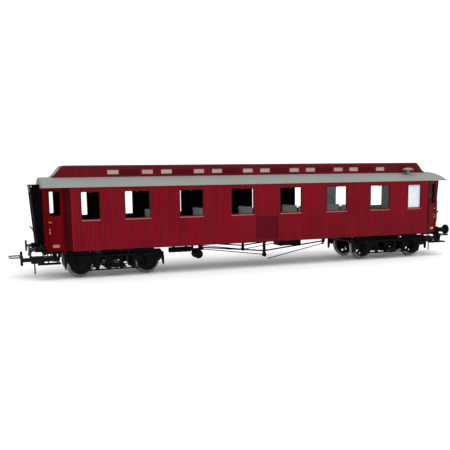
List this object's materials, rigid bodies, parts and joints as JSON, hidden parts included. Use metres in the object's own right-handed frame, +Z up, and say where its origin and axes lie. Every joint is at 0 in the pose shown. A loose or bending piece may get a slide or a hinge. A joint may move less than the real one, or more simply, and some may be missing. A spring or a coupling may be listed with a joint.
{
  "type": "model railway passenger coach",
  "caption": "Model of a long wooden-sided railway passenger coach with a raised clerestory roof, end gangways, swivelling bogies and loop couplers.",
  "frame": {"origin": "on the centre line midway between the bogies, on the floor under the wheel flanges", "axes": "+X along the coach towards the lavatory end, called front; +Y to the left side; +Z up"},
  "size_m": [0.2242, 0.0346, 0.0469],
  "materials": {
    "body_paint": "satin red lacquer over moulded planks",
    "dark_paint": "satin dark red lacquer",
    "moulding": "thin brown-gold printed moulding",
    "clear_glass": "clear polished acrylic",
    "frosted_glass": "frosted white acrylic",
    "opal_glass": "opal acrylic",
    "floor_plastic": "dark moulded plastic",
    "ballast_steel": "plain rolled steel",
    "seat_plastic": "grey moulded plastic",
    "partition_plastic": "dark grey moulded plastic",
    "roof_paint": "matt grey with a slight green cast",
    "bellows": "matt black pleats",
    "black_plastic": "matt black moulded plastic",
    "buffer_metal": "blackened turned metal",
    "plate_cream": "cream print",
    "wheel_centre": "black moulded spokes",
    "tyre_steel": "nickel-silver, turned",
    "coupler_plastic": "black moulded plastic",
    "loop_wire": "blackened wire"
  },
  "bodies": {
    "coach_body": {"side_wall_left": "body_paint", "side_wall_right": "body_paint", "number_panels": "dark_paint", "vestibule_walls": "dark_paint", "end_walls": "dark_paint", "entrance_doors": "dark_paint", "end_doors": "dark_paint", "window_frames": "moulding", "window_glass": "clear_glass", "frosted_window": "frosted_glass", "floor_plate": "floor_plastic", "ballast_plate": "ballast_steel", "cabin_floor": "floor_plastic", "seats": "seat_plastic", "partitions": "partition_plastic", "underframe": "black_plastic", "lower_roof": "roof_paint", "clerestory_walls": "body_paint", "clerestory_roof": "roof_paint", "clerestory_glass": "opal_glass", "clerestory_louvres": "dark_paint", "roof_vent": "roof_paint", "gangway_bellows": "bellows", "gangway_frames": "black_plastic", "buffer_housings": "black_plastic", "buffer_heads": "buffer_metal", "step_boards": "black_plastic", "truss_rods": "black_plastic", "battery_box": "black_plastic", "gas_tank": "black_plastic", "dynamo": "black_plastic", "brake_rods": "black_plastic", "brake_hoses": "black_plastic", "end_plates": "plate_cream"},
    "bogie_front": {"bogie_frame_front": "black_plastic", "axle_boxes_front": "black_plastic", "bogie_springs_front": "black_plastic", "brake_blocks_front": "black_plastic"},
    "wheelset_1": {"wheels_1": "wheel_centre", "tyres_1": "tyre_steel"},
    "wheelset_2": {"wheels_2": "wheel_centre", "tyres_2": "tyre_steel"},
    "coupler_front": {"coupler_front": "coupler_plastic"},
    "coupler_loop_front": {"coupler_loop_front": "loop_wire"},
    "bogie_rear": {"bogie_frame_rear": "black_plastic", "axle_boxes_rear": "black_plastic", "bogie_springs_rear": "black_plastic", "brake_blocks_rear": "black_plastic"},
    "wheelset_3": {"wheels_3": "wheel_centre", "tyres_3": "tyre_steel"},
    "wheelset_4": {"wheels_4": "wheel_centre", "tyres_4": "tyre_steel"},
    "coupler_rear": {"coupler_rear": "coupler_plastic"},
    "coupler_loop_rear": {"coupler_loop_rear": "loop_wire"}
  },
  "joints": [
    {"name": "bogie_front_swivel", "type": "hinge", "parent": "coach_body", "child": "bogie_front", "pos_m": [0.069, 0, 0.0097], "axis": [0, 0, 1], "range_deg": [-12, 12]},
    {"name": "wheelset_1_spin", "type": "hinge", "parent": "bogie_front", "child": "wheelset_1", "pos_m": [0.08342, 0, 0.006], "axis": [0, 1, 0], "continuous": true},
    {"name": "wheelset_2_spin", "type": "hinge", "parent": "bogie_front", "child": "wheelset_2", "pos_m": [0.05457, 0, 0.006], "axis": [0, 1, 0], "continuous": true},
    {"name": "coupler_front_swing", "type": "hinge", "parent": "coach_body", "child": "coupler_front", "pos_m": [0.0931, 0, 0.0075], "axis": [0, 0, 1], "range_deg": [-12, 12]},
    {"name": "coupler_front_loop_lift", "type": "hinge", "parent": "coupler_front", "child": "coupler_loop_front", "pos_m": [0.1069, 0, 0.0092], "axis": [0, -1, 0], "range_deg": [0, 25]},
    {"name": "bogie_rear_swivel", "type": "hinge", "parent": "coach_body", "child": "bogie_rear", "pos_m": [-0.069, 0, 0.0097], "axis": [0, 0, 1], "range_deg": [-12, 12]},
    {"name": "wheelset_3_spin", "type": "hinge", "parent": "bogie_rear", "child": "wheelset_3", "pos_m": [-0.05457, 0, 0.006], "axis": [0, 1, 0], "continuous": true},
    {"name": "wheelset_4_spin", "type": "hinge", "parent": "bogie_rear", "child": "wheelset_4", "pos_m": [-0.08342, 0, 0.006], "axis": [0, 1, 0], "continuous": true},
    {"name": "coupler_rear_swing", "type": "hinge", "parent": "coach_body", "child": "coupler_rear", "pos_m": [-0.0931, 0, 0.0075], "axis": [0, 0, 1], "range_deg": [-12, 12]},
    {"name": "coupler_rear_loop_lift", "type": "hinge", "parent": "coupler_rear", "child": "coupler_loop_rear", "pos_m": [-0.1069, 0, 0.0092], "axis": [0, 1, 0], "range_deg": [0, 25]}
  ]
}
